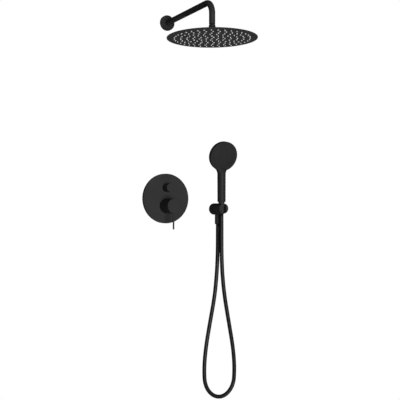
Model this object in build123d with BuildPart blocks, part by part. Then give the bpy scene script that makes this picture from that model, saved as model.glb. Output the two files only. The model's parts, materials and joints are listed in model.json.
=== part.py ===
# Concealed rain-shower set: a rain head on a wall arm, a mixer with a diverter behind a
# trim plate, and a hand shower with its hose on a wall outlet, joined by the pipework
# inside the wall.
#
# Millimetres. +X runs to the right along the wall, -Y points out of the wall to the
# bather and +Z is up. The origin is the centre of the trim plate on the finished wall.
# "Proud" means the distance out of the wall, so it is -Y, and it is negative inside.

from build123d import *

import os
from math import cos, pi, radians, sin, sqrt, tan

# Fits
RUNNING_GAP = 0.06          # radial clearance of a piece that turns in another
SLIP_GAP = 0.1              # clearance of a piece that is pushed into place

# Threads and pipes
G_HALF = 10.48              # radius of a G1/2 thread
PIPE_DEPTH = 45.0           # centre plane of the pipes behind the finished wall
PIPE_RADIUS = 7.5
PIPE_WALL = 0.7
SOCKET_RADIUS = 11.0        # threaded end that takes a compression nut
SOCKET_DEPTH = 14.0
WATERWAY = 6.0
NUT_FLATS = 28.0
NUT_GRIP = 9.0
OLIVE_RADIUS = 9.1
OLIVE_LENGTH = 6.0
PIPE_BEND = 30.0

# Rain-shower arm
ARM_X = 7.0
ARM_Z = 651.0
ARM_REACH = 350.0
ARM_RADIUS = 10.3
ARM_BORE = 8.3
ARM_BEND = 42.0
ARM_DROP = 77.4
ARM_GRIP = 30.0             # length of the arm inside the wall
FLANGE_RADIUS = 28.1
FLANGE_PROUD = 10.0

# Drop-ear elbows
ELBOW_FRONT = 8.0
ELBOW_BACK = 58.0
ELBOW_RADIUS = 14.5
ELBOW_DROP = 34.0
EAR_SPREAD = 64.0
EAR_WIDTH = 84.0
EAR_HEIGHT = 18.0
EAR_BACK = 22.0
EAR_THICKNESS = 4.0

# Fixing screws
SCREW_HOLE = 2.75
SCREW_HEAD = 4.8
SCREW_NECK = 1.9            # plain part in the hole
SCREW_THREAD = 2.5
SCREW_LENGTH = 28.0         # thread beyond the plate that it holds

# Rain head, with heights measured from the centre of its ball joint
PIVOT_DROP = 98.0           # arm axis to ball centre
BALL_RADIUS = 9.0
STEM_RADIUS = 4.0
BALL_BORE = 2.6
SEAT_RADIUS = 10.2
HEAD_RADIUS = 150.0
FACE_HEIGHT = -26.7
SHEET = 1.2
NUT_TOP = 18.2
NUT_BASE = -13.0
SOCKET_CUP = 11.6
NOZZLE_PITCH = 20.8
NOZZLE_RINGS = 6
NOZZLE_TURN = 15.0          # every second ring starts turned by this, in degrees
NOZZLE_RADIUS = 2.5
NOZZLE_PROUD = 2.5
MAT_THICKNESS = 1.6
MAT_RADIUS = 136.0

# Trim plate, mixer and diverter
PLATE_RADIUS = 92.0
PLATE_PROUD = 11.0
PLATE_SHEET = 2.0
MIXER_Z = -27.3
DIVERTER_Z = 40.0
TILT_PROUD = PLATE_PROUD + 22.0     # pin that the mixer handle tilts on
HANDLE_RADIUS = 27.0
HANDLE_REAR = TILT_PROUD + 9.3
HANDLE_PROUD = PLATE_PROUD + 70.0
DOME_RADIUS = 26.7
DOME_HOLE = 13.6
CAVITY_RADIUS = 27.3
STEM_OF_HANDLE = 4.4
PIN_RADIUS = 2.0
LEVER_PROUD = PLATE_PROUD + 61.7
LEVER_RADIUS = 3.0
LEVER_REACH = 85.5
LEVER_ROOT = 15.0
KNOB_RADIUS = 15.5
KNOB_PROUD = PLATE_PROUD + 38.0
SPINDLE_RADIUS = 4.0

# Valve body
CHAMBER_RADIUS = 26.0
CHAMBER_BORE = 20.0
CHAMBER_MOUTH = -12.0
CHAMBER_FLOOR = -50.0
CARTRIDGE_NECK = 15.0
CARTRIDGE_SHOULDER = -20.0
SIDE_CHAMBER_RADIUS = 19.0
SIDE_CHAMBER_BORE = 14.0
SIDE_CHAMBER_FLOOR = -46.0
SIDE_NECK = 8.0
SIDE_SHOULDER = -18.0
BODY_BACK = -60.0
INLET_REACH = 52.0
INLET_RADIUS = 15.0
INLET_THREAD = 14.0
RISER_MOUTH_Z = DIVERTER_Z + 44.0
SIDE_MOUTH_X = 54.0
LUG_SPREAD_X = 72.0
LUG_SPREAD_Z = 120.0
LUG_CENTRE_Z = 6.0
LUG_THICKNESS = 4.0

# Wall outlet with the fork
OUTLET_X = 207.0
OUTLET_Z = -40.0
OUTLET_RADIUS = 21.8
OUTLET_STRAIGHT = 50.0
OUTLET_PROUD = 78.0
NOSE_RADIUS = 19.0
NOSE_RISE = 2.8
SPIGOT_PROUD = 30.6
BOSS_RADIUS = 11.4
BOSS_END = -68.0
SPIGOT_END = -78.0
NUT_END = -97.0
FORK_PROUD = 59.0
FORK_SLOT = 17.0

# Hose
HOSE_RADIUS = 7.5
TAIL_RADIUS = 5.8
FLANGE_OF_TAIL = 9.9
CAVITY_OF_NUT = 10.35
WASHER = 2.0

# Hand shower, standing on the fork
CONE_TOP_Z = -13.0
CONE_END_Z = -58.0
CONE_TOP_RADIUS = 12.0
CONE_END_RADIUS = 9.25
STUB_LENGTH = 10.0
GRIP_TOP_Z = 87.0
GRIP_END_RADIUS = 15.35
GRIP_TOP_RADIUS = 15.8
GRIP_BORE = 13.3
HAND_TILT = 17.0
HAND_CENTRE_Z = 156.3
HAND_PROUD = FORK_PROUD + 20.3
HAND_RADIUS = 56.7
HAND_REAR_RADIUS = 54.8
HAND_SIDE = 17.5            # depth of the nearly straight side
HAND_DEPTH = 27.0
HAND_PLATE_RADIUS = 44.0
HAND_PLATE_DEPTH = 2.6
HAND_CROWN = 2.6            # rise of the face plate at its centre
CROWN_RADIUS = (HAND_PLATE_RADIUS**2 + HAND_CROWN**2) / (2 * HAND_CROWN)
NECK_FLARE_Z = 93.0         # where the round neck starts to widen
NECK_TOP_Z = 118.0
BUTTON_Z = 101.5
BUTTON_PROUD = FORK_PROUD + 16.0
BUTTON_TILT = 12.0
BUTTON_DEPTH = 5.5
BUTTON_WIDTH = 9.1
BUTTON_HEIGHT = 14.1
BUTTON_GAP = 0.2
INNER_PLATE_DEPTH = 9.0
INNER_PLATE_RADIUS = 41.5
INNER_PLATE_SHEET = 1.6
SPRAY_MAT_RADIUS = 42.5
SPRAY_MAT_SHEET = 1.5
SPRAY_HOLE = 1.65           # hole in the face plate around a nozzle
SPRAY_NOZZLE = 1.55
SPRAY_JET = 0.5
SPRAY_PROUD = 0.7           # nozzle tip in front of the face plate

pivot = (ARM_X, -ARM_REACH, ARM_Z - PIVOT_DROP)
tilt_point = (0, -TILT_PROUD, MIXER_Z)


def out_of_wall(x, z, proud=0.0):
    """A plane parallel to the wall that faces the room."""
    return Plane(origin=(x, -proud, z), x_dir=(1, 0, 0), z_dir=(0, -1, 0))


def level(x, proud, z):
    """A horizontal plane that faces up."""
    return Plane(origin=(x, -proud, z))


def facing(x, proud, z, direction):
    """A plane at a point, with its normal along a direction."""
    return Plane(origin=(x, -proud, z), z_dir=direction)


def rod(plane, radius, length, mode=Mode.ADD):
    """A round bar that grows from the plane along its normal."""
    with BuildSketch(plane) as section:
        Circle(radius)
    extrude(section.sketch, amount=length, mode=mode)


def ring(plane, outer, inner, length):
    """A plain ring that grows from the plane along its normal."""
    with BuildSketch(plane) as section:
        Circle(outer)
        Circle(inner, mode=Mode.SUBTRACT)
    extrude(section.sketch, amount=length)


def hexagon(plane, flats, length, mode=Mode.ADD):
    """A hexagonal bar, by its width across flats."""
    with BuildSketch(plane) as section:
        RegularPolygon(flats / 2, 6, major_radius=False)
    extrude(section.sketch, amount=length, mode=mode)


def turned(plane, outline, mode=Mode.ADD):
    """A solid turned about the plane's normal, from (radius, height) points."""
    upright = Plane(origin=plane.origin, x_dir=plane.x_dir, z_dir=-plane.y_dir)
    with BuildSketch(upright) as section:
        with BuildLine():
            Polyline(*outline, close=True)
        make_face()
    revolve(section.sketch, axis=Axis(plane.origin, plane.z_dir), mode=mode)


def ball(centre, radius, mode=Mode.ADD):
    """A sphere about a point."""
    with Locations(centre):
        Sphere(radius, mode=mode)


def block(low, high, mode=Mode.ADD):
    """A box between its lowest and highest corners."""
    middle = [(a + b) / 2 for a, b in zip(low, high)]
    with Locations(tuple(middle)):
        Box(high[0] - low[0], high[1] - low[1], high[2] - low[2], mode=mode)


def screw(plane, plate):
    """A pan-head screw through a plate: head on the plane, plain neck, then the thread."""
    rod(plane, SCREW_HEAD, 3.0)
    rod(plane, SCREW_NECK, -plate)
    rod(plane.offset(-plate), SCREW_THREAD, -SCREW_LENGTH)
    hexagon(plane.offset(3.0), 3.0, -1.8, Mode.SUBTRACT)


def grub(plane, radius, length, key):
    """A headless screw that grows from the plane, with a hexagonal socket at its start."""
    rod(plane, radius, length)
    hexagon(plane, key, 0.45 * length, Mode.SUBTRACT)


def wall_elbow(x, z, way):
    """A drop-ear elbow: a threaded mouth to the room and a pipe socket up (1) or down (-1)."""
    rod(out_of_wall(x, z, -ELBOW_BACK), ELBOW_RADIUS, ELBOW_BACK - ELBOW_FRONT)
    rod(facing(x, -PIPE_DEPTH, z, (0, 0, way)), SOCKET_RADIUS, ELBOW_DROP)
    rod(facing(x, -PIPE_DEPTH, z, (0, 0, way)), SOCKET_RADIUS + 1.5, ELBOW_DROP - NUT_GRIP - 1)
    ear_low = (x - EAR_WIDTH / 2, EAR_BACK - EAR_THICKNESS, z - EAR_HEIGHT / 2)
    ear_high = (x + EAR_WIDTH / 2, EAR_BACK, z + EAR_HEIGHT / 2)
    block(ear_low, ear_high)
    rod(out_of_wall(x, z, -PIPE_DEPTH), WATERWAY, PIPE_DEPTH, Mode.SUBTRACT)
    rod(out_of_wall(x, z, -ARM_GRIP), ARM_RADIUS, ARM_GRIP, Mode.SUBTRACT)
    rod(facing(x, -PIPE_DEPTH, z, (0, 0, way)), WATERWAY, ELBOW_DROP, Mode.SUBTRACT)
    mouth = facing(x, -PIPE_DEPTH, z + way * ELBOW_DROP, (0, 0, -way))
    rod(mouth, PIPE_RADIUS, SOCKET_DEPTH, Mode.SUBTRACT)
    for side in (-1, 1):
        hole = out_of_wall(x + side * EAR_SPREAD / 2, z, -EAR_BACK)
        rod(hole, SCREW_HOLE, EAR_THICKNESS, Mode.SUBTRACT)


def save(builder, name):
    """Label a finished piece and write it."""
    builder.part.label = name
    export_step(builder.part, f"parts/{name}.step")


os.makedirs("parts", exist_ok=True)

# ---------------------------------------------------------------- rain-shower arm
arm_end_z = ARM_Z - ARM_DROP

with BuildPart() as arm_tube:
    with BuildLine() as arm_path:
        FilletPolyline(
            (ARM_X, ARM_GRIP, ARM_Z),
            (ARM_X, -ARM_REACH, ARM_Z),
            (ARM_X, -ARM_REACH, arm_end_z),
            radius=ARM_BEND,
        )
    with BuildSketch(out_of_wall(ARM_X, ARM_Z, -ARM_GRIP)):
        Circle(ARM_RADIUS)
        Circle(ARM_BORE, mode=Mode.SUBTRACT)
    sweep(path=arm_path.line)
save(arm_tube, "arm_tube")

with BuildPart() as arm_flange:
    rod(out_of_wall(ARM_X, ARM_Z), FLANGE_RADIUS, FLANGE_PROUD)
    fillet(arm_flange.faces().sort_by(Axis.Y)[0].edges(), 2.4)
    rod(out_of_wall(ARM_X, ARM_Z), FLANGE_RADIUS - 1.6, FLANGE_PROUD - 4.4, Mode.SUBTRACT)
    rod(out_of_wall(ARM_X, ARM_Z), ARM_RADIUS + 2.0, FLANGE_PROUD - 2.0, Mode.SUBTRACT)
    rod(out_of_wall(ARM_X, ARM_Z), ARM_RADIUS + SLIP_GAP, FLANGE_PROUD, Mode.SUBTRACT)
save(arm_flange, "arm_flange")

with BuildPart() as arm_flange_seal:
    seal_plane = out_of_wall(ARM_X, ARM_Z, FLANGE_PROUD - 4.8)
    ring(seal_plane, ARM_RADIUS + 2.0 - SLIP_GAP, ARM_RADIUS + 0.02, 2.7)
save(arm_flange_seal, "arm_flange_seal")

with BuildPart() as arm_wall_elbow:
    wall_elbow(ARM_X, ARM_Z, -1)
save(arm_wall_elbow, "arm_wall_elbow")

with BuildPart() as outlet_wall_elbow:
    wall_elbow(OUTLET_X, OUTLET_Z, 1)
save(outlet_wall_elbow, "outlet_wall_elbow")

with BuildPart() as elbow_screws:
    for x, z in ((ARM_X, ARM_Z), (OUTLET_X, OUTLET_Z)):
        for side in (-1, 1):
            seat = out_of_wall(x + side * EAR_SPREAD / 2, z, EAR_THICKNESS - EAR_BACK)
            screw(seat, EAR_THICKNESS)
save(elbow_screws, "elbow_screws")

# ---------------------------------------------------------------- ball joint
with BuildPart() as head_ball:
    rod(level(ARM_X, ARM_REACH, arm_end_z), ARM_BORE, 14.0)
    rod(level(ARM_X, ARM_REACH, pivot[2]), STEM_RADIUS, arm_end_z - pivot[2])
    ball(pivot, BALL_RADIUS)
    rod(level(ARM_X, ARM_REACH, pivot[2] - 15), BALL_BORE, ARM_DROP, Mode.SUBTRACT)
save(head_ball, "head_ball")


def seat_zone(low, high, opening):
    """A spherical seat round the ball, between two heights from its centre."""
    ball(pivot, SEAT_RADIUS)
    ball(pivot, BALL_RADIUS + RUNNING_GAP, Mode.SUBTRACT)
    rod(level(ARM_X, ARM_REACH, pivot[2] + high), 2 * SEAT_RADIUS, 2 * SEAT_RADIUS, Mode.SUBTRACT)
    rod(level(ARM_X, ARM_REACH, pivot[2] + low), 2 * SEAT_RADIUS, -2 * SEAT_RADIUS, Mode.SUBTRACT)
    rod(level(ARM_X, ARM_REACH, pivot[2] + low), opening, high - low, Mode.SUBTRACT)


with BuildPart() as head_lower_seat:
    seat_zone(-7.2, -2.0, 5.4)
save(head_lower_seat, "head_lower_seat")

with BuildPart() as head_upper_seat:
    seat_zone(2.0, 7.2, 6.4)
save(head_upper_seat, "head_upper_seat")

head_axis = level(ARM_X, ARM_REACH, pivot[2])

with BuildPart() as head_nut:
    nut_outline = [
        (SOCKET_CUP, NUT_BASE), (14.0, NUT_BASE), (14.5, NUT_BASE + 0.6), (13.2, 0.0),
        (11.7, 10.0), (10.4, NUT_TOP - 0.5), (10.0, NUT_TOP), (8.9, NUT_TOP),
        (6.9, 7.4), (SOCKET_CUP, 0.0),
    ]
    turned(head_axis, nut_outline)
    ball(pivot, SEAT_RADIUS + RUNNING_GAP, Mode.SUBTRACT)
save(head_nut, "head_nut")

socket_foot = NUT_BASE - SHEET
with BuildPart() as head_socket:
    socket_outline = [
        (5.3, socket_foot - 2.4), (23.0, socket_foot - 2.4), (23.0, socket_foot),
        (SOCKET_CUP - 0.05, socket_foot), (SOCKET_CUP - 0.05, -0.2), (5.3, -0.2),
    ]
    turned(head_axis, socket_outline)
    ball(pivot, SEAT_RADIUS + RUNNING_GAP, Mode.SUBTRACT)
    with BuildSketch(head_axis.offset(socket_foot - 2.4)):
        Circle(21.0)
        Circle(18.8, mode=Mode.SUBTRACT)
    extrude(amount=1.2, mode=Mode.SUBTRACT)
save(head_socket, "head_socket")

with BuildPart() as head_seal_ring:
    ring(head_axis.offset(socket_foot - 2.4), 20.9, 18.9, 1.15)
save(head_seal_ring, "head_seal_ring")

with BuildPart() as head_flow_disc:
    rod(head_axis.offset(socket_foot - 1.8), 5.2, 1.6)
    with BuildSketch(head_axis.offset(socket_foot - 1.8)):
        with PolarLocations(3.2, 6):
            Circle(0.9)
    extrude(amount=1.6, mode=Mode.SUBTRACT)
save(head_flow_disc, "head_flow_disc")

# ---------------------------------------------------------------- rain head
rim_top = FACE_HEIGHT + 2 * SHEET - 0.1

with BuildPart() as head_top_shell:
    shell_section = Plane(origin=pivot, x_dir=(1, 0, 0), z_dir=(0, -1, 0))
    with BuildSketch(shell_section):
        with BuildLine():
            Polyline((SOCKET_CUP, NUT_BASE), (27, NUT_BASE))
            Spline((27, NUT_BASE), (45, -14.6), (80, -19.2), (138, -21.6), tangents=[(1, 0), (1, 0)])
            Polyline((138, -21.6), (141, rim_top), (149.4, rim_top), (HEAD_RADIUS, rim_top - 0.5))
            Line((HEAD_RADIUS, rim_top - 0.5), (HEAD_RADIUS, rim_top - SHEET))
            Polyline((HEAD_RADIUS, rim_top - SHEET), (140, rim_top - SHEET), (137.2, -21.6 - SHEET))
            Spline(
                (137.2, -21.6 - SHEET), (80, -19.2 - SHEET), (45, -14.6 - SHEET),
                (27, socket_foot), tangents=[(-1, 0), (-1, 0)],
            )
            Polyline((27, socket_foot), (SOCKET_CUP, socket_foot), (SOCKET_CUP, NUT_BASE))
        make_face()
    revolve(axis=Axis(pivot, (0, 0, 1)))
save(head_top_shell, "head_top_shell")


def nozzle_rings():
    """The centres of the rain head's nozzles: six more in each ring than in the last."""
    points = [(0.0, 0.0)]
    for count in range(1, NOZZLE_RINGS + 1):
        around = PolarLocations(count * NOZZLE_PITCH, 6 * count, start_angle=NOZZLE_TURN * (count % 2))
        points += [(spot.position.X, spot.position.Y) for spot in around.local_locations]
    return points


face_plane = head_axis.offset(FACE_HEIGHT)

with BuildPart() as head_face_plate:
    rod(face_plane, HEAD_RADIUS, SHEET - 0.1)
    chamfer(head_face_plate.faces().sort_by(Axis.Z)[0].edges(), 0.4)
    with BuildSketch(face_plane):
        with Locations(*nozzle_rings()):
            Circle(NOZZLE_RADIUS + SLIP_GAP)
    extrude(amount=SHEET, mode=Mode.SUBTRACT)
save(head_face_plate, "head_face_plate")

with BuildPart() as head_nozzle_mat:
    rod(face_plane.offset(SHEET - 0.1), MAT_RADIUS, MAT_THICKNESS)
    with BuildSketch(face_plane.offset(SHEET)):
        with Locations(*nozzle_rings()):
            Circle(NOZZLE_RADIUS)
    extrude(amount=-SHEET - NOZZLE_PROUD, taper=5)
    with BuildSketch(face_plane.offset(-NOZZLE_PROUD)):
        with Locations(*nozzle_rings()):
            Circle(0.6)
    extrude(amount=NOZZLE_PROUD + 3 * SHEET, mode=Mode.SUBTRACT)
save(head_nozzle_mat, "head_nozzle_mat")

# ---------------------------------------------------------------- valve body
riser_mouth = facing(ARM_X, -PIPE_DEPTH, RISER_MOUTH_Z, (0, 0, 1))
side_mouth = facing(SIDE_MOUTH_X, -PIPE_DEPTH, DIVERTER_Z, (1, 0, 0))
lugs = [(x, z) for x in (-LUG_SPREAD_X / 2, LUG_SPREAD_X / 2)
        for z in (LUG_CENTRE_Z - LUG_SPREAD_Z / 2, LUG_CENTRE_Z + LUG_SPREAD_Z / 2)]

with BuildPart() as valve_body:
    rod(out_of_wall(0, MIXER_Z, BODY_BACK), CHAMBER_RADIUS, CHAMBER_MOUTH - BODY_BACK)
    rod(out_of_wall(0, DIVERTER_Z, BODY_BACK), SIDE_CHAMBER_RADIUS, CHAMBER_MOUTH - BODY_BACK)
    block((-14, 30, MIXER_Z), (14, -BODY_BACK, DIVERTER_Z))
    with BuildSketch(out_of_wall(0, LUG_CENTRE_Z, BODY_BACK)):
        RectangleRounded(LUG_SPREAD_X + 14, LUG_SPREAD_Z + 14, 7)
    extrude(amount=LUG_THICKNESS)
    rod(facing(-INLET_REACH, -PIPE_DEPTH, MIXER_Z, (1, 0, 0)), INLET_RADIUS, 2 * INLET_REACH)
    rod(riser_mouth, SOCKET_RADIUS, DIVERTER_Z - RISER_MOUTH_Z)
    rod(riser_mouth.offset(-NUT_GRIP - 1), SOCKET_RADIUS + 1.5, DIVERTER_Z - RISER_MOUTH_Z + NUT_GRIP + 1)
    rod(side_mouth, SOCKET_RADIUS, -SIDE_MOUTH_X)
    rod(side_mouth.offset(-NUT_GRIP - 1), SOCKET_RADIUS + 1.5, 1 + NUT_GRIP - SIDE_MOUTH_X)
    rod(out_of_wall(0, MIXER_Z, CHAMBER_FLOOR), CHAMBER_BORE, CHAMBER_MOUTH - CHAMBER_FLOOR, Mode.SUBTRACT)
    side_depth = CHAMBER_MOUTH - SIDE_CHAMBER_FLOOR
    rod(out_of_wall(0, DIVERTER_Z, SIDE_CHAMBER_FLOOR), SIDE_CHAMBER_BORE, side_depth, Mode.SUBTRACT)
    for side in (-1, 1):
        inlet = facing(side * INLET_REACH, -PIPE_DEPTH, MIXER_Z, (-side, 0, 0))
        rod(inlet, G_HALF, INLET_THREAD, Mode.SUBTRACT)
        rod(inlet, WATERWAY, INLET_REACH, Mode.SUBTRACT)
    for mouth in (riser_mouth, side_mouth):
        rod(mouth, PIPE_RADIUS, -SOCKET_DEPTH, Mode.SUBTRACT)
        rod(mouth, WATERWAY, -40.0, Mode.SUBTRACT)
    rod(facing(0, -PIPE_DEPTH + 3, MIXER_Z, (0, 0, 1)), WATERWAY - 1, DIVERTER_Z - MIXER_Z, Mode.SUBTRACT)
    for x, z in lugs:
        rod(out_of_wall(x, z, BODY_BACK), SCREW_HOLE, LUG_THICKNESS, Mode.SUBTRACT)
save(valve_body, "valve_body")

with BuildPart() as valve_screws:
    for x, z in lugs:
        screw(out_of_wall(x, z, BODY_BACK + LUG_THICKNESS), LUG_THICKNESS)
save(valve_screws, "valve_screws")

# ---------------------------------------------------------------- mixer
mixer_axis = out_of_wall(0, MIXER_Z)

with BuildPart() as mixing_cartridge:
    cartridge_outline = [
        (0, CHAMBER_FLOOR), (CHAMBER_BORE - SLIP_GAP, CHAMBER_FLOOR),
        (CHAMBER_BORE - SLIP_GAP, CARTRIDGE_SHOULDER), (CARTRIDGE_NECK, CARTRIDGE_SHOULDER),
        (CARTRIDGE_NECK, PLATE_PROUD + 8.5), (6 + RUNNING_GAP, PLATE_PROUD + 8.5),
        (6 + RUNNING_GAP, -10), (0, -10),
    ]
    turned(mixer_axis, cartridge_outline)
save(mixing_cartridge, "mixing_cartridge")

with BuildPart() as cartridge_nut:
    hexagon(mixer_axis.offset(CHAMBER_MOUTH), 42, 6)
    rod(mixer_axis.offset(CARTRIDGE_SHOULDER), CHAMBER_BORE - SLIP_GAP, CHAMBER_MOUTH - CARTRIDGE_SHOULDER)
    rod(mixer_axis.offset(CARTRIDGE_SHOULDER), CARTRIDGE_NECK + SLIP_GAP, 16, Mode.SUBTRACT)
save(cartridge_nut, "cartridge_nut")

with BuildPart() as mixer_sleeve:
    ball(tilt_point, DOME_RADIUS)
    rod(mixer_axis, 2 * DOME_RADIUS, TILT_PROUD, Mode.SUBTRACT)
    rod(mixer_axis.offset(PLATE_PROUD), DOME_RADIUS, TILT_PROUD - PLATE_PROUD)
    ball(tilt_point, DOME_RADIUS - 1.5, Mode.SUBTRACT)
    rod(mixer_axis.offset(PLATE_PROUD), DOME_RADIUS - 1.5, TILT_PROUD - PLATE_PROUD, Mode.SUBTRACT)
    ring(mixer_axis.offset(PLATE_PROUD), DOME_RADIUS, CARTRIDGE_NECK + SLIP_GAP, 2.5)
    ring(mixer_axis.offset(PLATE_PROUD), CARTRIDGE_NECK + 3, CARTRIDGE_NECK + SLIP_GAP, 7)
    rod(mixer_axis.offset(TILT_PROUD), DOME_HOLE, DOME_RADIUS, Mode.SUBTRACT)
save(mixer_sleeve, "mixer_sleeve")

with BuildPart() as cartridge_turret:
    rod(mixer_axis.offset(PLATE_PROUD + 9), 11.5, 6)
    rod(mixer_axis.offset(-9.5), 6.0, PLATE_PROUD + 19)
    for side in (-1, 1):
        cheek = (side * 6.8 - 2.2, -TILT_PROUD - 5.5, MIXER_Z - 5.5)
        block(cheek, (side * 6.8 + 2.2, -PLATE_PROUD - 15, MIXER_Z + 5.5))
    rod(facing(-9, TILT_PROUD, MIXER_Z, (1, 0, 0)), PIN_RADIUS, 18, Mode.SUBTRACT)
save(cartridge_turret, "cartridge_turret")

with BuildPart() as handle_pivot_pin:
    rod(facing(-9, TILT_PROUD, MIXER_Z, (1, 0, 0)), PIN_RADIUS, 18)
save(handle_pivot_pin, "handle_pivot_pin")

with BuildPart() as handle_stem:
    rod(facing(-4.5, TILT_PROUD, MIXER_Z, (1, 0, 0)), 5.0, 9)
    rod(mixer_axis.offset(TILT_PROUD), STEM_OF_HANDLE, 40)
    eye = facing(-4.5, TILT_PROUD, MIXER_Z, (1, 0, 0))
    rod(eye, PIN_RADIUS + RUNNING_GAP, 9, Mode.SUBTRACT)
save(handle_stem, "handle_stem")

lever_start = facing(0, LEVER_PROUD, MIXER_Z - LEVER_ROOT, (0, 0, -1))
handle_grub_plane = facing(0, TILT_PROUD + 33, MIXER_Z - STEM_OF_HANDLE - 9, (0, 0, 1))

with BuildPart() as mixer_handle:
    rod(mixer_axis.offset(HANDLE_REAR), HANDLE_RADIUS, HANDLE_PROUD - HANDLE_REAR)
    chamfer(mixer_handle.faces().sort_by(Axis.Y)[0].edges(), 0.9)
    ball(tilt_point, CAVITY_RADIUS, Mode.SUBTRACT)
    rod(mixer_axis.offset(TILT_PROUD), STEM_OF_HANDLE, 40.2, Mode.SUBTRACT)
    rod(lever_start, LEVER_RADIUS, HANDLE_RADIUS, Mode.SUBTRACT)
    rod(handle_grub_plane, 2.5, 9, Mode.SUBTRACT)
    rod(handle_grub_plane, 2.6, -HANDLE_RADIUS, Mode.SUBTRACT)
save(mixer_handle, "mixer_handle")

with BuildPart() as lever_pin:
    rod(lever_start, LEVER_RADIUS, LEVER_REACH - LEVER_ROOT)
    fillet(lever_pin.faces().sort_by(Axis.Z)[0].edges(), LEVER_RADIUS - 0.1)
save(lever_pin, "lever_pin")

with BuildPart() as handle_set_screw:
    grub(handle_grub_plane, 2.4, 9, 2.5)
save(handle_set_screw, "handle_set_screw")

# ---------------------------------------------------------------- diverter
diverter_axis = out_of_wall(0, DIVERTER_Z)

with BuildPart() as diverter_cartridge:
    side_outline = [
        (0, SIDE_CHAMBER_FLOOR), (SIDE_CHAMBER_BORE - SLIP_GAP, SIDE_CHAMBER_FLOOR),
        (SIDE_CHAMBER_BORE - SLIP_GAP, SIDE_SHOULDER), (SIDE_NECK, SIDE_SHOULDER),
        (SIDE_NECK, 2), (SPINDLE_RADIUS + RUNNING_GAP, 2),
        (SPINDLE_RADIUS + RUNNING_GAP, -37), (0, -37),
    ]
    turned(diverter_axis, side_outline)
save(diverter_cartridge, "diverter_cartridge")

with BuildPart() as diverter_nut:
    hexagon(diverter_axis.offset(CHAMBER_MOUTH), 30, 5)
    rod(diverter_axis.offset(SIDE_SHOULDER), SIDE_CHAMBER_BORE - SLIP_GAP, CHAMBER_MOUTH - SIDE_SHOULDER)
    rod(diverter_axis.offset(SIDE_SHOULDER), SIDE_NECK + SLIP_GAP, 12, Mode.SUBTRACT)
save(diverter_nut, "diverter_nut")

with BuildPart() as diverter_spindle:
    rod(diverter_axis.offset(-36.5), SPINDLE_RADIUS, 36.5 + KNOB_PROUD - 10)
save(diverter_spindle, "diverter_spindle")

knob_grub_plane = facing(0, KNOB_PROUD - 15, DIVERTER_Z - SPINDLE_RADIUS - 6, (0, 0, 1))

with BuildPart() as diverter_knob:
    knob_rear = PLATE_PROUD + 0.6
    rod(diverter_axis.offset(knob_rear), KNOB_RADIUS, KNOB_PROUD - knob_rear)
    chamfer(diverter_knob.faces().sort_by(Axis.Y)[0].edges(), 0.7)
    with BuildSketch(diverter_axis.offset(knob_rear)):
        Circle(KNOB_RADIUS - 2.5)
        Circle(SPINDLE_RADIUS + 3, mode=Mode.SUBTRACT)
    extrude(amount=14, mode=Mode.SUBTRACT)
    rod(diverter_axis, SPINDLE_RADIUS, KNOB_PROUD - 9.8, Mode.SUBTRACT)
    rod(knob_grub_plane, 1.5, 6, Mode.SUBTRACT)
    rod(knob_grub_plane, 1.6, -KNOB_RADIUS, Mode.SUBTRACT)
save(diverter_knob, "diverter_knob")

with BuildPart() as diverter_set_screw:
    grub(knob_grub_plane, 1.45, 6, 1.5)
save(diverter_set_screw, "diverter_set_screw")

# ---------------------------------------------------------------- trim plate
with BuildPart() as trim_plate:
    rod(out_of_wall(0, 0), PLATE_RADIUS, PLATE_PROUD)
    fillet(trim_plate.faces().sort_by(Axis.Y)[0].edges(), 0.9)
    rod(out_of_wall(0, 0), PLATE_RADIUS - PLATE_SHEET, PLATE_PROUD - PLATE_SHEET, Mode.SUBTRACT)
    rod(mixer_axis, CARTRIDGE_NECK + 0.4, PLATE_PROUD, Mode.SUBTRACT)
    rod(diverter_axis, SIDE_NECK + 1, PLATE_PROUD, Mode.SUBTRACT)
save(trim_plate, "trim_plate")

with BuildPart() as plate_seal:
    ring(out_of_wall(0, 0), PLATE_RADIUS - PLATE_SHEET - SLIP_GAP, PLATE_RADIUS - 8, 8.9)
save(plate_seal, "plate_seal")

# ---------------------------------------------------------------- pipes in the wall
arm_socket_z = ARM_Z - ELBOW_DROP
outlet_socket_z = OUTLET_Z + ELBOW_DROP

with BuildPart() as riser_pipe:
    riser_start = level(ARM_X, -PIPE_DEPTH, RISER_MOUTH_Z - SOCKET_DEPTH)
    riser_length = arm_socket_z - RISER_MOUTH_Z + 2 * SOCKET_DEPTH
    ring(riser_start, PIPE_RADIUS, PIPE_RADIUS - PIPE_WALL, riser_length)
save(riser_pipe, "riser_pipe")

with BuildPart() as outlet_pipe:
    with BuildLine() as outlet_path:
        FilletPolyline(
            (SIDE_MOUTH_X - SOCKET_DEPTH, PIPE_DEPTH, DIVERTER_Z),
            (OUTLET_X, PIPE_DEPTH, DIVERTER_Z),
            (OUTLET_X, PIPE_DEPTH, outlet_socket_z - SOCKET_DEPTH),
            radius=PIPE_BEND,
        )
    with BuildSketch(side_mouth.offset(-SOCKET_DEPTH)):
        Circle(PIPE_RADIUS)
        Circle(PIPE_RADIUS - PIPE_WALL, mode=Mode.SUBTRACT)
    sweep(path=outlet_path.line)
save(outlet_pipe, "outlet_pipe")

pipe_mouths = [
    riser_mouth,
    side_mouth,
    facing(ARM_X, -PIPE_DEPTH, arm_socket_z, (0, 0, -1)),
    facing(OUTLET_X, -PIPE_DEPTH, outlet_socket_z, (0, 0, 1)),
]

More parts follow.
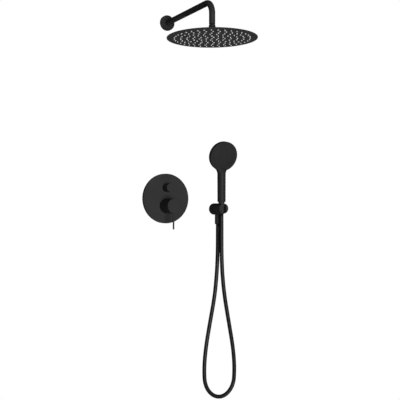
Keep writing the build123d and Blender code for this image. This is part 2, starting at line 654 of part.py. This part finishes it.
with BuildPart() as pipe_nuts:
    for mouth in pipe_mouths:
        hexagon(mouth.offset(-NUT_GRIP), NUT_FLATS, 2 * NUT_GRIP)
        rod(mouth.offset(-NUT_GRIP), SOCKET_RADIUS + 0.05, NUT_GRIP, Mode.SUBTRACT)
        rod(mouth, OLIVE_RADIUS + SLIP_GAP, OLIVE_LENGTH + SLIP_GAP, Mode.SUBTRACT)
        rod(mouth, PIPE_RADIUS + SLIP_GAP, NUT_GRIP, Mode.SUBTRACT)
save(pipe_nuts, "pipe_nuts")

with BuildPart() as pipe_olives:
    for mouth in pipe_mouths:
        ring(mouth, OLIVE_RADIUS, PIPE_RADIUS + 0.02, OLIVE_LENGTH)
    chamfer(pipe_olives.edges().filter_by(GeomType.CIRCLE).group_by(SortBy.RADIUS)[-1], 0.8)
save(pipe_olives, "pipe_olives")

# ---------------------------------------------------------------- wall outlet
cone_slope = (CONE_TOP_RADIUS - CONE_END_RADIUS) / (CONE_TOP_Z - CONE_END_Z)
outlet_axis = out_of_wall(OUTLET_X, OUTLET_Z)
spigot_axis = facing(OUTLET_X, SPIGOT_PROUD, OUTLET_Z, (0, 0, -1))
fork_axis = level(OUTLET_X, FORK_PROUD, 0)


def cone_radius(z, gap=0.0):
    """The radius of the hand shower's cone nut at a height, and its seat's with a gap."""
    return CONE_END_RADIUS + cone_slope * (z - CONE_END_Z) + gap


with BuildPart() as outlet_body:
    rod(outlet_axis, OUTLET_RADIUS, OUTLET_STRAIGHT)
    with BuildSketch(outlet_axis.offset(OUTLET_STRAIGHT)):
        Circle(OUTLET_RADIUS)
    with BuildSketch(out_of_wall(OUTLET_X, OUTLET_Z + NOSE_RISE, OUTLET_PROUD)):
        Circle(NOSE_RADIUS)
    loft()
    fillet(outlet_body.faces().sort_by(Axis.Y)[0].edges(), 1.2)
    rod(spigot_axis, BOSS_RADIUS, OUTLET_Z - BOSS_END)
    blend_edges = outlet_body.edges().filter_by_position(Axis.Z, -62.0, -48.0).filter_by(GeomType.BSPLINE)
    fillet(blend_edges.filter_by_position(Axis.Y, -43.0, -18.0), 4.0)
    rod(outlet_axis, 16, 2.5, Mode.SUBTRACT)
    rod(outlet_axis, ARM_RADIUS, 14, Mode.SUBTRACT)
    rod(outlet_axis, 7.2, 26, Mode.SUBTRACT)
    rod(outlet_axis, WATERWAY, SPIGOT_PROUD + WATERWAY + 2, Mode.SUBTRACT)
    rod(spigot_axis, WATERWAY - 0.5, 40, Mode.SUBTRACT)
    rod(spigot_axis.offset(10), ARM_RADIUS, 40, Mode.SUBTRACT)
    seat_outline = [
        (0, -70), (cone_radius(-70, RUNNING_GAP), -70), (cone_radius(-10, RUNNING_GAP), -10), (0, -10),
    ]
    turned(fork_axis, seat_outline, Mode.SUBTRACT)
    block(
        (OUTLET_X - FORK_SLOT / 2, -OUTLET_PROUD - 2, -70), (OUTLET_X + FORK_SLOT / 2, -FORK_PROUD, 0),
        Mode.SUBTRACT,
    )
    outlet_grub_plane = facing(OUTLET_X, 7, OUTLET_Z - ARM_RADIUS - 7, (0, 0, 1))
    rod(outlet_grub_plane, 2, 8, Mode.SUBTRACT)
    rod(outlet_grub_plane, 2.1, -12, Mode.SUBTRACT)
save(outlet_body, "outlet_body")

with BuildPart() as outlet_set_screw:
    grub(outlet_grub_plane, 1.95, 7, 2.0)
save(outlet_set_screw, "outlet_set_screw")

with BuildPart() as outlet_connector:
    ring(out_of_wall(OUTLET_X, OUTLET_Z, -ARM_GRIP), ARM_RADIUS, WATERWAY, ARM_GRIP + 13)
save(outlet_connector, "outlet_connector")

with BuildPart() as outlet_seal:
    ring(outlet_axis, 15.9, ARM_RADIUS + SLIP_GAP, 2.5)
save(outlet_seal, "outlet_seal")

with BuildPart() as check_valve:
    ring(outlet_axis.offset(14.2), 7.1, 4.6, 11)
    rod(outlet_axis.offset(17), 4.7, 2)
save(check_valve, "check_valve")

with BuildPart() as outlet_spigot:
    ring(spigot_axis.offset(10), ARM_RADIUS, WATERWAY, OUTLET_Z - SPIGOT_END - 10)
save(outlet_spigot, "outlet_spigot")

with BuildPart() as hose_wall_nut:
    wall_nut_outline = [
        (CAVITY_OF_NUT, BOSS_END - 0.4), (10.9, BOSS_END - 0.4), (BOSS_RADIUS, BOSS_END - 0.9),
        (BOSS_RADIUS, NUT_END + 0.8), (10.6, NUT_END), (TAIL_RADIUS + SLIP_GAP, NUT_END),
        (TAIL_RADIUS + SLIP_GAP, SPIGOT_END - 2 * WASHER), (CAVITY_OF_NUT, SPIGOT_END - 2 * WASHER),
    ]
    turned(level(OUTLET_X, SPIGOT_PROUD, 0), wall_nut_outline)
save(hose_wall_nut, "hose_wall_nut")

with BuildPart() as wall_nut_washer:
    ring(level(OUTLET_X, SPIGOT_PROUD, SPIGOT_END), FLANGE_OF_TAIL, WATERWAY, -WASHER)
save(wall_nut_washer, "wall_nut_washer")


def hose_tail(proud, flange_z, end_z, gap):
    """The metal end of the hose: a flange under the washer and a bored tail."""
    top = level(OUTLET_X, proud, flange_z - gap)
    rod(top, FLANGE_OF_TAIL, gap - WASHER)
    rod(top, TAIL_RADIUS, end_z - flange_z + gap)
    rod(top, TAIL_RADIUS - 2, end_z - flange_z, Mode.SUBTRACT)


with BuildPart() as hose_wall_tail:
    hose_tail(SPIGOT_PROUD, SPIGOT_END - WASHER, NUT_END, 0.0)
save(hose_wall_tail, "hose_wall_tail")

# ---------------------------------------------------------------- hose
# The wall end, down one side of the loop, round the bottom and up to the hand shower.
HOSE_ROUTE = [
    (207, -30.6, -97), (207, -30.6, -150), (206, -31, -215), (201.5, -31.5, -290),
    (192, -32.5, -372), (169.5, -34.5, -475), (152, -36.5, -560), (143.5, -38.5, -635),
    (145.5, -41, -703), (180, -44, -746), (227, -47, -750.5), (264.5, -50, -711),
    (267.5, -52.5, -645), (260.5, -54.5, -570), (241.5, -56.5, -475), (221, -58, -372),
    (211, -58.8, -290), (207.5, -59, -218), (207, -59, -138), (207, -59, -58),
]
RUN_SHARE = 0.45            # part of the shorter run that an arc takes up

hose_points = [Vector(*point) for point in HOSE_ROUTE]
hose_radii = []
for before, corner, after in zip(hose_points, hose_points[1:], hose_points[2:]):
    arriving = corner - before
    leaving = after - corner
    half_turn = radians(arriving.get_angle(leaving)) / 2
    hose_radii.append(RUN_SHARE * min(arriving.length, leaving.length) / tan(half_turn))

with BuildPart() as hose:
    with BuildLine() as hose_path:
        FilletPolyline(*hose_points, radius=hose_radii)
    with BuildSketch(Plane(origin=hose_points[0], z_dir=hose_points[1] - hose_points[0])):
        Circle(HOSE_RADIUS)
    sweep(path=hose_path.line)
save(hose, "hose")

hose_length = hose_path.wire().length
hose_section = pi * HOSE_RADIUS**2
print("hose radii", [round(radius) for radius in hose_radii])
print("hose length", round(hose_length, 1))
print("hose volume / (section x length)", round(hose.part.volume / (hose_section * hose_length), 5))

# ---------------------------------------------------------------- hand shower
stub_end_z = CONE_TOP_Z - STUB_LENGTH
tail_flange_z = stub_end_z - WASHER

with BuildPart() as hose_cone_nut:
    cone_outline = [
        (CAVITY_OF_NUT, CONE_TOP_Z - 0.4), (cone_radius(CONE_TOP_Z) - 0.4, CONE_TOP_Z - 0.4),
        (cone_radius(CONE_TOP_Z - 0.8), CONE_TOP_Z - 0.8), (cone_radius(CONE_END_Z + 0.6), CONE_END_Z + 0.6),
        (CONE_END_RADIUS - 0.6, CONE_END_Z), (TAIL_RADIUS + RUNNING_GAP, CONE_END_Z),
        (TAIL_RADIUS + RUNNING_GAP, tail_flange_z - WASHER - RUNNING_GAP),
        (CAVITY_OF_NUT, tail_flange_z - WASHER - RUNNING_GAP),
    ]
    turned(fork_axis, cone_outline)
save(hose_cone_nut, "hose_cone_nut")

with BuildPart() as cone_nut_washer:
    ring(fork_axis.offset(stub_end_z), FLANGE_OF_TAIL, WATERWAY, -WASHER)
save(cone_nut_washer, "cone_nut_washer")

with BuildPart() as hose_hand_tail:
    hose_tail(FORK_PROUD, tail_flange_z, CONE_END_Z, RUNNING_GAP)
save(hose_hand_tail, "hose_hand_tail")

with BuildPart() as hand_handle:
    handle_outline = [
        (6.5, stub_end_z), (ARM_RADIUS, stub_end_z), (ARM_RADIUS, CONE_TOP_Z),
        (GRIP_END_RADIUS - 1.2, CONE_TOP_Z), (GRIP_END_RADIUS, CONE_TOP_Z + 1.2),
        (GRIP_TOP_RADIUS, GRIP_TOP_Z - 0.4), (GRIP_TOP_RADIUS - 0.4, GRIP_TOP_Z),
        (GRIP_BORE, GRIP_TOP_Z), (GRIP_BORE, CONE_TOP_Z + 4), (6.5, CONE_TOP_Z + 4),
    ]
    turned(fork_axis, handle_outline)
save(hand_handle, "hand_handle")

with BuildPart() as hand_inner_tube:
    ring(fork_axis.offset(CONE_TOP_Z + 4), 8.5, 6.5, GRIP_TOP_Z - 12 - CONE_TOP_Z - 4)
save(hand_inner_tube, "hand_inner_tube")

tilt = radians(HAND_TILT)
hand_face = Plane(
    origin=(OUTLET_X, -HAND_PROUD, HAND_CENTRE_Z), x_dir=(1, 0, 0), z_dir=(0, -cos(tilt), -sin(tilt))
)
button_lean = radians(BUTTON_TILT)
button_plane = Plane(
    origin=(OUTLET_X, -BUTTON_PROUD, BUTTON_Z), x_dir=(1, 0, 0),
    z_dir=(0, -cos(button_lean), sin(button_lean)),
)
spray_rings = ((10.5, 6), (19.5, 12), (28.5, 20), (37.5, 28))


def spray_holes(radius, rings=spray_rings):
    """Circles at the spray holes of the hand shower, in rings round its centre."""
    for ring_radius, count in rings:
        with PolarLocations(ring_radius, count):
            Circle(radius)


def dome_height(radius):
    """How far the crowned face plate stands in front of its rim, at a radius."""
    return HAND_CROWN - CROWN_RADIUS + sqrt(CROWN_RADIUS**2 - radius**2)


def oval(plane, width, height, length, mode=Mode.ADD):
    """An upright oval bar that grows from the plane along its normal."""
    with BuildSketch(plane) as section:
        Ellipse(width / 2, height / 2)
    extrude(section.sketch, amount=length, mode=mode)


with BuildPart() as hand_head_shell:
    with BuildSketch(fork_axis.offset(GRIP_TOP_Z)):
        Circle(GRIP_TOP_RADIUS)
    with BuildSketch(fork_axis.offset(NECK_FLARE_Z)):
        Circle(GRIP_TOP_RADIUS)
    with BuildSketch(level(OUTLET_X, FORK_PROUD - 1.5, NECK_TOP_Z)):
        Ellipse(36.0, 9.0)
    loft()
    with BuildSketch(Plane(origin=hand_face.origin, x_dir=(1, 0, 0), z_dir=-hand_face.y_dir)):
        with BuildLine():
            Spline(
                (0, -HAND_DEPTH), (28, 1.0 - HAND_DEPTH), (47, 4.5 - HAND_DEPTH),
                (HAND_REAR_RADIUS, -HAND_SIDE),
                tangents=[(1, 0), (0.12, 1)],
            )
            Line((HAND_REAR_RADIUS, -HAND_SIDE), (HAND_RADIUS, -3.0))
            ThreePointArc((HAND_RADIUS, -3.0), (HAND_RADIUS - 0.88, -0.88), (HAND_RADIUS - 3.0, 0))
            Polyline((HAND_RADIUS - 3.0, 0), (0, 0), (0, -HAND_DEPTH))
        make_face()
    revolve(axis=Axis(hand_face.origin, hand_face.z_dir))
    rod(fork_axis.offset(GRIP_TOP_Z), GRIP_BORE - SLIP_GAP, -11)
    recess_outline = [
        (0, 25), (HAND_PLATE_RADIUS + SLIP_GAP, 25), (HAND_PLATE_RADIUS + SLIP_GAP, -HAND_PLATE_DEPTH),
        (43, -8), (40, -14), (32, -19), (18, -22.8), (0, -23.8),
    ]
    turned(hand_face, recess_outline, Mode.SUBTRACT)
    rod(fork_axis.offset(GRIP_TOP_Z - 12), 4.5, 45, Mode.SUBTRACT)
    rod(fork_axis.offset(GRIP_TOP_Z - 12), 8.5, 13, Mode.SUBTRACT)
    for depth in (-9.8, 5.0):
        oval(button_plane, BUTTON_WIDTH + BUTTON_GAP, BUTTON_HEIGHT + BUTTON_GAP, depth, Mode.SUBTRACT)
    chamfer(hand_head_shell.edges().filter_by_position(Axis.Z, GRIP_TOP_Z, GRIP_TOP_Z)
            .group_by(SortBy.LENGTH)[-1], 0.4)
save(hand_head_shell, "hand_head_shell")

with BuildPart() as hand_inner_plate:
    inner_face = hand_face.offset(-INNER_PLATE_DEPTH)
    rod(inner_face, INNER_PLATE_RADIUS, INNER_PLATE_SHEET)
    with BuildSketch(inner_face):
        with PolarLocations(30, 8):
            Circle(3.0)
    extrude(amount=INNER_PLATE_SHEET, mode=Mode.SUBTRACT)
save(hand_inner_plate, "hand_inner_plate")

with BuildPart() as hand_face_plate:
    middle = HAND_PLATE_RADIUS / 2
    with BuildSketch(Plane(origin=hand_face.origin, x_dir=(1, 0, 0), z_dir=-hand_face.y_dir)):
        with BuildLine():
            Polyline((0, HAND_CROWN), (0, -HAND_PLATE_DEPTH), (HAND_PLATE_RADIUS, -HAND_PLATE_DEPTH))
            Line((HAND_PLATE_RADIUS, -HAND_PLATE_DEPTH), (HAND_PLATE_RADIUS, 0))
            ThreePointArc((HAND_PLATE_RADIUS, 0), (middle, dome_height(middle)), (0, HAND_CROWN))
        make_face()
    revolve(axis=Axis(hand_face.origin, hand_face.z_dir))
    with BuildSketch(hand_face.offset(-HAND_PLATE_DEPTH - 1)):
        spray_holes(SPRAY_HOLE)
    extrude(amount=HAND_PLATE_DEPTH + HAND_CROWN + 2, mode=Mode.SUBTRACT)
save(hand_face_plate, "hand_face_plate")

with BuildPart() as hand_nozzles:
    rod(hand_face.offset(-HAND_PLATE_DEPTH - SPRAY_MAT_SHEET), SPRAY_MAT_RADIUS, SPRAY_MAT_SHEET)
    for spray_ring in spray_rings:
        nozzle_height = HAND_PLATE_DEPTH + dome_height(spray_ring[0]) + SPRAY_PROUD
        with BuildSketch(hand_face.offset(-HAND_PLATE_DEPTH)):
            spray_holes(SPRAY_NOZZLE, [spray_ring])
        extrude(amount=nozzle_height, taper=3)
        with BuildSketch(hand_face.offset(-HAND_PLATE_DEPTH)):
            spray_holes(SPRAY_JET, [spray_ring])
        extrude(amount=nozzle_height + 1, mode=Mode.SUBTRACT)
save(hand_nozzles, "hand_nozzles")

with BuildPart() as mode_button:
    oval(button_plane, BUTTON_WIDTH, BUTTON_HEIGHT, -BUTTON_DEPTH)
    fillet(mode_button.faces().sort_by(Axis.Y)[0].edges(), 1.0)
    rod(button_plane.offset(-BUTTON_DEPTH), 3.0, 2.5, Mode.SUBTRACT)
save(mode_button, "mode_button")

with BuildPart() as button_spring:
    spring_start = button_plane.offset(-9.5)
    with BuildLine():
        coil = Helix(1.2, 3.6, 2.2, center=spring_start.origin, direction=spring_start.z_dir)
    with BuildSketch(Plane(origin=coil @ 0, z_dir=coil % 0)):
        Circle(0.25)
    sweep(path=coil)
save(button_spring, "button_spring")
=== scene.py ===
"""Looks of the concealed rain-shower set: materials, hose, wall, floor, lights and camera
around the CAD frame. Metres; +X right, -Y out of the wall, +Z up."""
import json
import math

import bmesh
import bpy
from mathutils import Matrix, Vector


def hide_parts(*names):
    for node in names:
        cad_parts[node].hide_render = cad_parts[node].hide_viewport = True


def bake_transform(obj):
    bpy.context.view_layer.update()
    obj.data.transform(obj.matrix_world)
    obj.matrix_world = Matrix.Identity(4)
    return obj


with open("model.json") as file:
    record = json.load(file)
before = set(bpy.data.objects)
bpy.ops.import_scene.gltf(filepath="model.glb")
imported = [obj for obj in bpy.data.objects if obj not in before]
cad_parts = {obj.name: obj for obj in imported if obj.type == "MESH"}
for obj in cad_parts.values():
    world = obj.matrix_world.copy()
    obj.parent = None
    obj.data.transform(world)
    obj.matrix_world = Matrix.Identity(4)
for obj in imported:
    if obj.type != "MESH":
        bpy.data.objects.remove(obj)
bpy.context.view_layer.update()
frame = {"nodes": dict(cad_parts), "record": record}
nodes = frame["nodes"]
slot_of = {part["node"]: part["material_slot"] for part in frame["record"]["subparts"]}


# ---------------------------------------------------------------- material kit
class Shader:
    """A node material under construction, with the object's own coordinates."""

    def __init__(self, name):
        self.material = bpy.data.materials.new(name)
        self.material.use_nodes = True
        self.tree = self.material.node_tree
        self.bsdf = self.tree.nodes["Principled BSDF"]
        self.place = self.tree.nodes.new("ShaderNodeTexCoord").outputs["Object"]

    def node(self, kind, **settings):
        made = self.tree.nodes.new(kind)
        for key, value in settings.items():
            setattr(made, key, value)
        return made

    def link(self, source, target):
        self.tree.links.new(source, target)

    def noise(self, scale, detail=2.0, stretch=(1, 1, 1)):
        """Noise of about 1/scale metres; a small stretch value draws it out along that axis."""
        mapping = self.node("ShaderNodeMapping")
        mapping.inputs["Scale"].default_value = stretch
        texture = self.node("ShaderNodeTexNoise")
        texture.inputs["Scale"].default_value = scale
        texture.inputs["Detail"].default_value = detail
        self.link(self.place, mapping.inputs["Vector"])
        self.link(mapping.outputs["Vector"], texture.inputs["Vector"])
        return texture.outputs["Fac"]

    def between(self, source, low, high, start=0.3, end=0.7):
        """A number that goes from low to high as the source goes from start to end."""
        spread = self.node("ShaderNodeMapRange")
        for key, value in zip(("From Min", "From Max", "To Min", "To Max"), (start, end, low, high)):
            spread.inputs[key].default_value = value
        self.link(source, spread.inputs["Value"])
        return spread.outputs["Result"]

    def colours(self, source, *stops):
        """Colours along the source, from (position, colour) stops."""
        ramp = self.node("ShaderNodeValToRGB")
        elements = ramp.color_ramp.elements
        while len(elements) < len(stops):
            elements.new(0.5)
        for element, (position, colour) in zip(elements, stops):
            element.position = position
            element.color = (*colour, 1)
        self.link(source, ramp.inputs["Fac"])
        self.link(ramp.outputs["Color"], self.bsdf.inputs["Base Color"])

    def rough(self, source, low, high):
        self.link(self.between(source, low, high), self.bsdf.inputs["Roughness"])

    def bumps(self, *layers):
        """Bump from (source, height in metres) layers, one on the other."""
        normal = None
        for source, height in layers:
            bump = self.node("ShaderNodeBump")
            bump.inputs["Distance"].default_value = height
            self.link(source, bump.inputs["Height"])
            if normal:
                self.link(normal, bump.inputs["Normal"])
            normal = bump.outputs["Normal"]
        self.link(normal, self.bsdf.inputs["Normal"])

    def set(self, **values):
        for key, value in values.items():
            self.bsdf.inputs[key.replace("_", " ")].default_value = value


def grey(value):
    return (value, value, value)


def coated_metal(name):
    """Matte black powder coat: fine orange peel, faint clouding, dull sheen."""
    s = Shader(name)
    clouds = s.noise(18, 3)
    peel = s.noise(900, 2)
    s.colours(clouds, (0.3, grey(0.040)), (0.7, grey(0.049)))
    s.rough(s.noise(240, 3), 0.52, 0.62)
    s.bumps((peel, 0.00005), (s.noise(2600, 1), 0.00002))
    s.set(Specular_IOR_Level=0.25)
    return s.material


def coated_plastic(name):
    """Matte black coat on moulded plastic: smoother than on metal, with faint flow marks."""
    s = Shader(name)
    flow = s.noise(30, 4, (1, 1, 0.35))
    s.colours(flow, (0.3, grey(0.033)), (0.7, grey(0.041)))
    s.rough(s.noise(160, 3), 0.50, 0.60)
    s.bumps((s.noise(1500, 2), 0.00003),)
    s.set(Specular_IOR_Level=0.2)
    return s.material


def soft_rubber(name, low, high, rough=(0.55, 0.7), grain=1400):
    """Moulded rubber or silicone: dull, with a fine grain."""
    s = Shader(name)
    s.colours(s.noise(60, 3), (0.3, grey(low)), (0.7, grey(high)))
    s.rough(s.noise(400, 2), *rough)
    s.bumps((s.noise(grain, 2), 0.00005),)
    s.set(Specular_IOR_Level=0.35)
    return s.material


def hose_skin(name):
    """Smooth black PVC: satin, with faint clouding and hardly any grain."""
    s = Shader(name)
    s.colours(s.noise(40, 3), (0.3, grey(0.018)), (0.7, grey(0.024)))
    s.rough(s.noise(90, 3, (1, 1, 0.2)), 0.36, 0.44)
    s.bumps((s.noise(2400, 1), 0.00001),)
    s.set(Specular_IOR_Level=0.3)
    return s.material


def bare_metal(name, dark, light, rough, lines=(1, 1, 1), grain=700, depth=0.00005):
    """Brass, copper or steel: clouded by handling, with cast grain or tool lines."""
    s = Shader(name)
    s.colours(s.noise(35, 4), (0.3, dark), (0.7, light))
    s.rough(s.noise(260, 3, lines), *rough)
    s.bumps((s.noise(grain, 3, lines), depth),)
    s.set(Metallic=1.0)
    return s.material


def pale_plastic(name, dark, light):
    """Acetal or PTFE: waxy, slightly see-through at the surface."""
    s = Shader(name)
    s.colours(s.noise(50, 3), (0.3, dark), (0.7, light))
    s.rough(s.noise(300, 2), 0.35, 0.5)
    s.bumps((s.noise(1000, 2), 0.00003),)
    s.set(Subsurface_Weight=0.08)
    return s.material


materials = {
    "black_coat": coated_metal("black_coat"),
    "black_chromed_plastic": coated_plastic("black_coated_plastic"),
    "nozzle_silicone": soft_rubber("nozzle_silicone", 0.80, 0.90),
    "dark_silicone": soft_rubber("dark_silicone", 0.045, 0.06),
    "hose_skin": hose_skin("hose_skin"),
    "seal_rubber": soft_rubber("seal_rubber", 0.015, 0.025),
    "seal_foam": soft_rubber("seal_foam", 0.06, 0.10, (0.8, 0.95), 500),
    "raw_brass": bare_metal("raw_brass", (0.52, 0.36, 0.16), (0.74, 0.55, 0.28), (0.32, 0.5)),
    "copper_pipe": bare_metal(
        "copper_pipe", (0.62, 0.27, 0.15), (0.83, 0.45, 0.29), (0.22, 0.42), (1, 1, 0.1), 900, 0.00002
    ),
    "steel": bare_metal("steel", grey(0.48), grey(0.60), (0.25, 0.4), (1, 0.15, 1), 1600, 0.00002),
    "ceramic_plastic": pale_plastic("acetal", (0.62, 0.61, 0.56), (0.74, 0.73, 0.69)),
    "seat_plastic": pale_plastic("ptfe", (0.74, 0.74, 0.72), (0.84, 0.84, 0.82)),
}

for name, node in nodes.items():
    node.data.materials.clear()
    node.data.materials.append(materials[slot_of[name]])


def new_piece(name, mesh, slot):
    """A smooth-shaded mesh object with its slot's material."""
    for face in mesh.polygons:
        face.use_smooth = True
    piece = bpy.data.objects.new(name, mesh)
    bpy.context.collection.objects.link(piece)
    mesh.materials.append(materials[slot])
    return piece


# ---------------------------------------------------------------- hose
# The route of the hose: the wall end, down one side of the loop and up to the hand shower.
HOSE_ROUTE = [
    (0.207, -0.0306, -0.097), (0.207, -0.0306, -0.150), (0.206, -0.031, -0.215),
    (0.2015, -0.0315, -0.290), (0.192, -0.0325, -0.372), (0.1695, -0.0345, -0.475),
    (0.152, -0.0365, -0.560), (0.1435, -0.0385, -0.635), (0.1455, -0.041, -0.703),
    (0.180, -0.044, -0.746), (0.227, -0.047, -0.7505), (0.2645, -0.050, -0.711),
    (0.2675, -0.0525, -0.645), (0.2605, -0.0545, -0.570), (0.2415, -0.0565, -0.475),
    (0.221, -0.058, -0.372), (0.211, -0.0588, -0.290), (0.2075, -0.059, -0.218),
    (0.207, -0.059, -0.138), (0.207, -0.059, -0.058),
]
HOSE_DIAMETER = 0.015
HOSE_SIDES = 28             # flats round the tube
HOSE_STEPS = 14             # rings of the tube between two points of the route


def smooth_route(points, steps):
    """The points along a NURBS spline with these control points."""
    curve = bpy.data.curves.new("route", "CURVE")
    curve.dimensions = "3D"
    spline = curve.splines.new("NURBS")
    spline.points.add(len(points) - 1)
    for knot, point in zip(spline.points, points):
        knot.co = (*point, 1)
    spline.order_u = 3
    spline.use_endpoint_u = True
    spline.resolution_u = steps
    line = bpy.data.objects.new("route", curve)
    mesh = bpy.data.meshes.new_from_object(line)
    route = [vertex.co.copy() for vertex in mesh.vertices]
    bpy.data.objects.remove(line)
    bpy.data.curves.remove(curve)
    bpy.data.meshes.remove(mesh)
    return route


def tube_mesh(name, route, radius, sides):
    """A closed round tube along a route, without twist."""
    mesh = bpy.data.meshes.new(name)
    bm = bmesh.new()
    tangents = [(b - a).normalized() for a, b in zip(route, route[1:])]
    tangents.append(tangents[-1])
    across = tangents[0].orthogonal().normalized()
    rings = []
    for point, tangent in zip(route, tangents):
        across = (across - tangent * across.dot(tangent)).normalized()
        side = tangent.cross(across)
        ring = []
        for step in range(sides):
            angle = 2 * math.pi * step / sides
            spot = point + radius * (math.cos(angle) * across + math.sin(angle) * side)
            ring.append(bm.verts.new(spot))
        rings.append(ring)
    for lower, upper in zip(rings, rings[1:]):
        for step in range(sides):
            after = (step + 1) % sides
            bm.faces.new((lower[step], lower[after], upper[after], upper[step]))
    bm.faces.new(rings[0][::-1])
    bm.faces.new(rings[-1])
    bmesh.ops.recalc_face_normals(bm, faces=bm.faces)
    bm.to_mesh(mesh)
    bm.free()
    return mesh


hose_line = smooth_route(HOSE_ROUTE, HOSE_STEPS)
hose_mesh = tube_mesh("shower_hose", hose_line, HOSE_DIAMETER / 2, HOSE_SIDES)
hose = new_piece("shower_hose", hose_mesh, "hose_skin")
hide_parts("hose")
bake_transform(hose)


# ---------------------------------------------------------------- wall and floor
def stage_plane(name, corners, material):
    mesh = bpy.data.meshes.new(name)
    mesh.from_pydata(corners, [], [(0, 1, 2, 3)])
    mesh.materials.append(material)
    plane = bpy.data.objects.new(name, mesh)
    bpy.context.collection.objects.link(plane)


STAGE_DULL = 0.14           # what the wall and the floor send back to the pieces


def stage_finish(name, low, high):
    """A pale glow to the eye between two greys, dull to reflections, and clear from behind."""
    s = Shader(name)
    tree = s.tree
    tree.nodes.remove(s.bsdf)
    cloud = s.between(s.noise(3, 3), low, high)
    glow = s.node("ShaderNodeEmission")
    shade = s.node("ShaderNodeBsdfDiffuse")
    shade.inputs["Color"].default_value = (*grey(STAGE_DULL), 1)
    clear = s.node("ShaderNodeBsdfTransparent")
    rays = s.node("ShaderNodeLightPath")
    side = s.node("ShaderNodeNewGeometry")
    front = s.node("ShaderNodeMixShader")
    mix = s.node("ShaderNodeMixShader")
    s.link(cloud, glow.inputs["Strength"])
    s.link(rays.outputs["Is Camera Ray"], front.inputs["Fac"])
    s.link(shade.outputs["BSDF"], front.inputs[1])
    s.link(glow.outputs["Emission"], front.inputs[2])
    s.link(side.outputs["Backfacing"], mix.inputs["Fac"])
    s.link(front.outputs["Shader"], mix.inputs[1])
    s.link(clear.outputs["BSDF"], mix.inputs[2])
    s.link(mix.outputs["Shader"], tree.nodes["Material Output"].inputs["Surface"])
    return s.material


WALL_Y = 0.0003
WALL_TOP = 2.0
LEFT, RIGHT = -2.4, 2.8
FLOOR_Z = -1.10
FLOOR_FRONT, FLOOR_BACK = -3.2, 2.0
wall_corners = [
    (LEFT, WALL_Y, FLOOR_Z), (RIGHT, WALL_Y, FLOOR_Z), (RIGHT, WALL_Y, WALL_TOP), (LEFT, WALL_Y, WALL_TOP),
]
floor_corners = [
    (LEFT, FLOOR_FRONT, FLOOR_Z), (RIGHT, FLOOR_FRONT, FLOOR_Z),
    (RIGHT, FLOOR_BACK, FLOOR_Z), (LEFT, FLOOR_BACK, FLOOR_Z),
]
stage_plane("wall", wall_corners, stage_finish("wall_white", 1.0, 1.0))
stage_plane("floor", floor_corners, stage_finish("floor_pale", 0.78, 0.84))


# ---------------------------------------------------------------- light
def soft_light(name, place, target, size, power, spread=180):
    """A square soft light at a place that looks at a target; its beam spreads by so many degrees."""
    data = bpy.data.lights.new(name, "AREA")
    data.shape = "SQUARE"
    data.size = size
    data.energy = power
    data.spread = math.radians(spread)
    light = bpy.data.objects.new(name, data)
    bpy.context.collection.objects.link(light)
    light.location = place
    light.visible_camera = False
    light.rotation_euler = (Vector(target) - Vector(place)).to_track_quat("-Z", "Y").to_euler()


MIDDLE = (0.1, 0, 0)        # between the trim plate and the hand shower
RAIN_HEAD = (0.02, -0.35, 0.55)
soft_light("key", place=(-0.84, -8.0, -0.60), target=MIDDLE, size=3.0, power=345)
soft_light("bounce", place=(0.05, -0.75, -1.05), target=RAIN_HEAD, size=0.3, power=0.38, spread=32)
soft_light("behind", place=(4.0, 7.0, 0.6), target=MIDDLE, size=3.0, power=300)


def studio_world(seen, felt):
    """A world that the camera sees at one strength and that lights the pieces at another."""
    world = bpy.data.worlds.new("studio")
    bpy.context.scene.world = world
    world.use_nodes = True
    sky = world.node_tree
    background = sky.nodes["Background"]
    background.inputs["Color"].default_value = (1, 1, 1, 1)
    background.inputs["Strength"].default_value = seen
    dim = sky.nodes.new("ShaderNodeBackground")
    dim.inputs["Strength"].default_value = felt
    rays = sky.nodes.new("ShaderNodeLightPath")
    choose = sky.nodes.new("ShaderNodeMixShader")
    sky.links.new(rays.outputs["Is Camera Ray"], choose.inputs["Fac"])
    sky.links.new(dim.outputs["Background"], choose.inputs[1])
    sky.links.new(background.outputs["Background"], choose.inputs[2])
    sky.links.new(choose.outputs["Shader"], sky.nodes["World Output"].inputs["Surface"])


studio_world(seen=1.0, felt=0.06)

scene = bpy.context.scene
scene.view_settings.view_transform = "Standard"
scene.view_settings.look = "None"

# ---------------------------------------------------------------- camera
CAMERA_TURN = -26.04        # degrees from the wall's normal: the camera stands to the left
CAMERA_PLACE = (-1.1638, -2.4831, -0.0055)
CAMERA_LENS = 66.48
CAMERA_SHIFT = 0.0575
camera_data = bpy.data.cameras.new("camera")
camera_data.sensor_width = 36
camera_data.lens = CAMERA_LENS
camera_data.shift_x = CAMERA_SHIFT
camera = bpy.data.objects.new("camera", camera_data)
bpy.context.collection.objects.link(camera)
camera.location = CAMERA_PLACE
camera.rotation_euler = (math.radians(90), 0, math.radians(CAMERA_TURN))
scene.camera = camera
